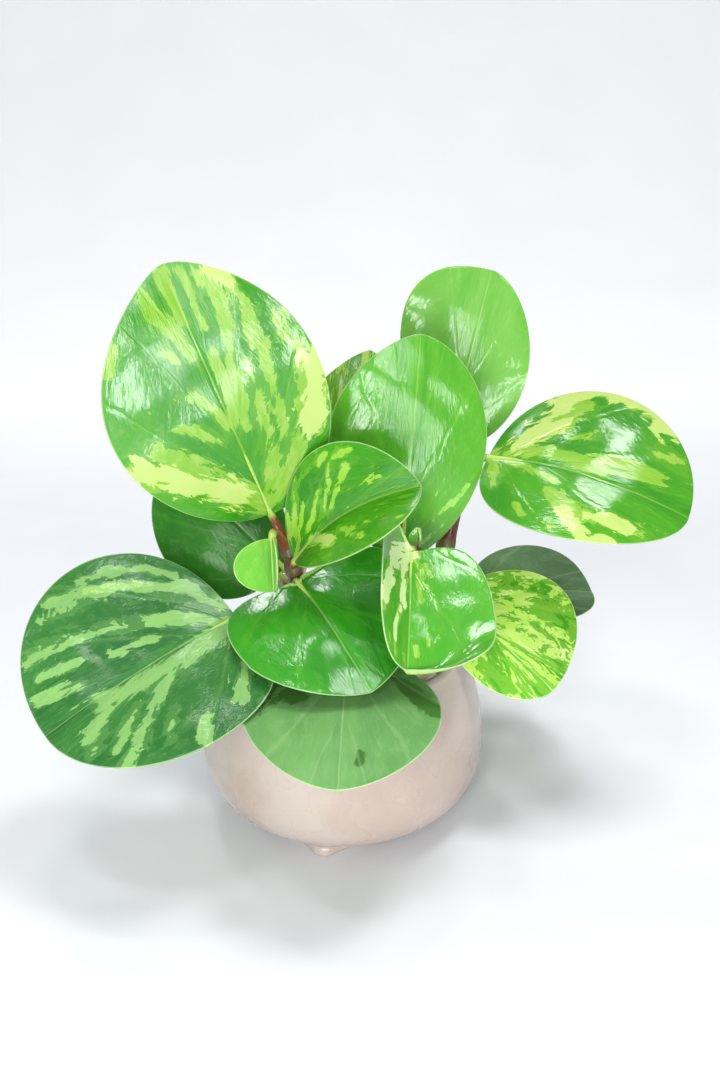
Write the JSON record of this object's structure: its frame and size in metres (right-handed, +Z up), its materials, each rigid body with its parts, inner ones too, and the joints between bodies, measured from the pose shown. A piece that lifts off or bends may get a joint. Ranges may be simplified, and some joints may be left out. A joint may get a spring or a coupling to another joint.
{
  "type": "potted peperomia",
  "caption": "Young peperomia with thick round variegated leaves on short red stems, in a round crackle-glazed pot on a square foot.",
  "frame": {"origin": "on the pot's axis, on the flat underside of the square foot", "axes": "+Z up, -Y to the front, where the long leaf hangs over the rim, +X to the right as seen from the front"},
  "size_m": [0.2226, 0.1752, 0.2027],
  "materials": {
    "glaze": "satin off-white glaze with fine crackle",
    "soil": "dark damp potting soil",
    "pebbles": "mixed beige and brown rounded gravel",
    "stem": "smooth red-brown stem",
    "leaf": "glossy thick green leaf with lime and cream patches",
    "leaf_plain": "glossy thick plain green leaf"
  },
  "bodies": {
    "root": {"ceramic_pot": "glaze", "soil": "soil", "pebbles": "pebbles", "stem_left": "stem", "stem_right": "stem", "stem_centre": "stem", "leaf_upper_left": "leaf", "leaf_upper_centre": "leaf_plain", "leaf_upper_right": "leaf_plain", "leaf_right": "leaf", "leaf_back_centre": "leaf", "leaf_back_left": "leaf_plain", "leaf_lower_left": "leaf", "leaf_front": "leaf_plain", "leaf_folded": "leaf", "leaf_young": "leaf_plain", "leaf_cupped": "leaf", "leaf_bud": "leaf_plain", "leaf_lower_right": "leaf", "leaf_far_right": "leaf_plain", "leaf_over_rim": "leaf_plain", "leaf_rear_left": "leaf", "leaf_rear_high": "leaf", "leaf_rear_right": "leaf", "leaf_rear_low": "leaf"}
  },
  "joints": []
}
